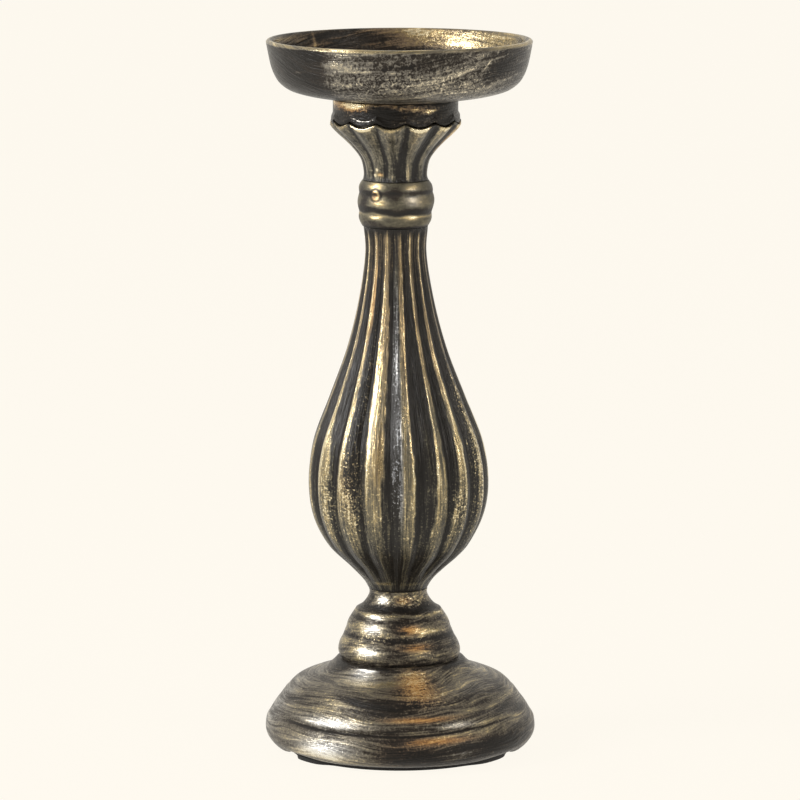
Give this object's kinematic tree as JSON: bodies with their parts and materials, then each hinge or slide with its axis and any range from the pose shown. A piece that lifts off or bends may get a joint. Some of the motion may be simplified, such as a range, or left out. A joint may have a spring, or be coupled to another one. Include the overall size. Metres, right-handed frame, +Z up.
{
  "type": "pillar candle stand",
  "caption": "Tall turned stand for a pillar candle: shallow dish on a scalloped capital, lobed pear column, beaded riser and a bell foot, all held on one tie rod.",
  "frame": {"origin": "centre of the foot pad's underside, where the stand rests on a table", "axes": "+Z up along the tie rod, -Y towards the front that was pictured, +X to its right"},
  "size_m": [0.1138, 0.1138, 0.3004],
  "materials": {
    "dish_paint": "black with dry-brushed gold, semi-gloss",
    "capital_paint": "black with gold rubbed on the raised edges, satin",
    "column_paint": "charcoal with gold rubbed along the lobes, semi-gloss",
    "base_paint": "black with gold brushed round it, semi-gloss",
    "zinc_steel": "zinc plated",
    "foot_rubber": "matt black foam rubber"
  },
  "bodies": {
    "root": {"candle_dish": "dish_paint", "dish_screw": "zinc_steel", "dish_drum": "dish_paint", "scalloped_capital": "capital_paint", "ring_collar": "base_paint", "fluted_column": "column_paint", "ring_riser": "base_paint", "base_bell": "base_paint", "tie_rod": "zinc_steel", "coupling_nut": "zinc_steel", "rod_washer": "zinc_steel", "base_washer": "zinc_steel", "lock_washer": "zinc_steel", "base_nut": "zinc_steel", "base_pad": "foot_rubber"}
  },
  "joints": []
}
